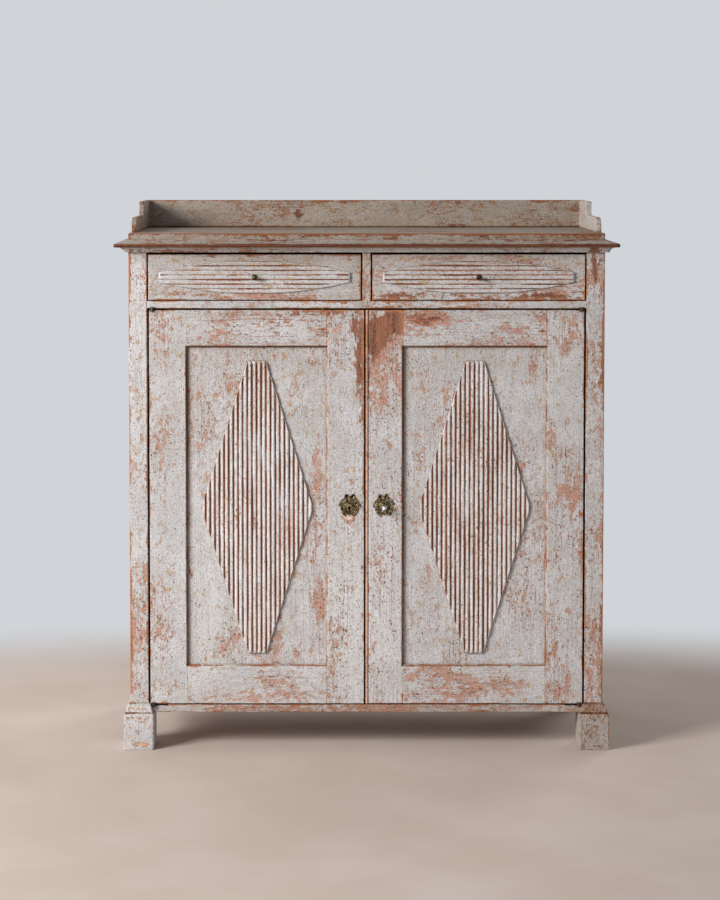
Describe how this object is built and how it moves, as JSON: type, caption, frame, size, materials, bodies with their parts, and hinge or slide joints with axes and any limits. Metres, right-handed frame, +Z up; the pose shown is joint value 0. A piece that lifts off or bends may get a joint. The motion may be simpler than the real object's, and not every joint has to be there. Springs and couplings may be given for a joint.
{
  "type": "buffet",
  "caption": "Free-standing painted wooden buffet: panelled doors with reeded lozenges below shallow drawers, moulded cornice, low gallery round the top, block feet.",
  "frame": {"origin": "on the floor, under the middle of the whole piece's box", "axes": "+Z up, front towards -Y, +X to the right as seen from the front"},
  "size_m": [1.196, 0.482, 1.308],
  "materials": {
    "worn_paint": "chalky grey-white oil paint over pine, worn through to salmon undercoat and red-brown wood",
    "bare_pine": "unpainted aged pine",
    "aged_brass": "dark aged brass, rubbed bright on the high parts",
    "forged_iron": "blackened forged iron",
    "key_steel": "handled bare steel"
  },
  "bodies": {
    "carcass": {"back_boards": "bare_pine", "back_nails": "forged_iron", "bottom_board": "worn_paint", "cornice_front": "worn_paint", "cornice_left": "worn_paint", "cornice_right": "worn_paint", "door_stops": "bare_pine", "drawer_divider": "worn_paint", "drawer_rail": "worn_paint", "drawer_runners": "bare_pine", "fixed_pivots": "forged_iron", "gallery_back": "worn_paint", "gallery_left_end": "worn_paint", "gallery_right_end": "worn_paint", "left_front_foot": "worn_paint", "left_front_stile": "worn_paint", "left_rear_stile": "worn_paint", "left_side_boards": "worn_paint", "rear_top_rail": "bare_pine", "right_front_foot": "worn_paint", "right_front_stile": "worn_paint", "right_rear_stile": "worn_paint", "right_side_boards": "worn_paint", "shelf_cleats": "bare_pine", "shelves": "bare_pine", "top_board": "worn_paint", "top_rail": "bare_pine"},
    "left_door": {"left_door_bottom_rail": "worn_paint", "left_door_hinge_stile": "worn_paint", "left_door_lozenge": "worn_paint", "left_door_meeting_stile": "worn_paint", "left_door_panel": "worn_paint", "left_door_pivots": "forged_iron", "left_door_top_rail": "worn_paint", "left_escutcheon": "aged_brass", "bolt_plate": "forged_iron"},
    "right_door": {"right_door_bottom_rail": "worn_paint", "right_door_hinge_stile": "worn_paint", "right_door_lozenge": "worn_paint", "right_door_meeting_stile": "worn_paint", "right_door_panel": "worn_paint", "right_door_pivots": "forged_iron", "right_door_top_rail": "worn_paint", "right_escutcheon": "aged_brass", "lock_case": "forged_iron"},
    "left_drawer": {"left_drawer_back": "bare_pine", "left_drawer_bottom": "bare_pine", "left_drawer_front": "worn_paint", "left_drawer_knob": "aged_brass", "left_drawer_lozenge": "worn_paint", "left_drawer_sides": "bare_pine"},
    "right_drawer": {"right_drawer_back": "bare_pine", "right_drawer_bottom": "bare_pine", "right_drawer_front": "worn_paint", "right_drawer_knob": "aged_brass", "right_drawer_lozenge": "worn_paint", "right_drawer_sides": "bare_pine"},
    "key": {"key": "key_steel"},
    "lock_bolt": {"lock_bolt": "forged_iron"},
    "door_bolt": {"door_bolt": "forged_iron"}
  },
  "joints": [
    {"name": "left_door_hinge", "type": "hinge", "parent": "carcass", "child": "left_door", "pos_m": [-0.51, -0.2105, 0.582], "axis": [0, 0, -1], "range_deg": [0, 165]},
    {"name": "right_door_hinge", "type": "hinge", "parent": "carcass", "child": "right_door", "pos_m": [0.51, -0.2105, 0.582], "axis": [0, 0, 1], "range_deg": [0, 165]},
    {"name": "left_drawer_slide", "type": "slide", "parent": "carcass", "child": "left_drawer", "axis": [0, -1, 0], "range_m": [0, 0.32]},
    {"name": "right_drawer_slide", "type": "slide", "parent": "carcass", "child": "right_drawer", "axis": [0, -1, 0], "range_m": [0, 0.32]},
    {"name": "key_turn", "type": "hinge", "parent": "right_door", "child": "key", "pos_m": [0.042, -0.209, 0.58225], "axis": [0, -1, 0], "range_deg": [0, 80.1]},
    {"name": "lock_bolt_slide", "type": "slide", "parent": "right_door", "child": "lock_bolt", "axis": [-1, 0, 0], "range_m": [0, 0.014]},
    {"name": "door_bolt_slide", "type": "slide", "parent": "left_door", "child": "door_bolt", "axis": [0, 0, 1], "range_m": [0, 0.018]}
  ],
  "couplings": [
    {"joint": "key_turn", "follows": "lock_bolt_slide", "rad_per_m": 99.73}
  ]
}
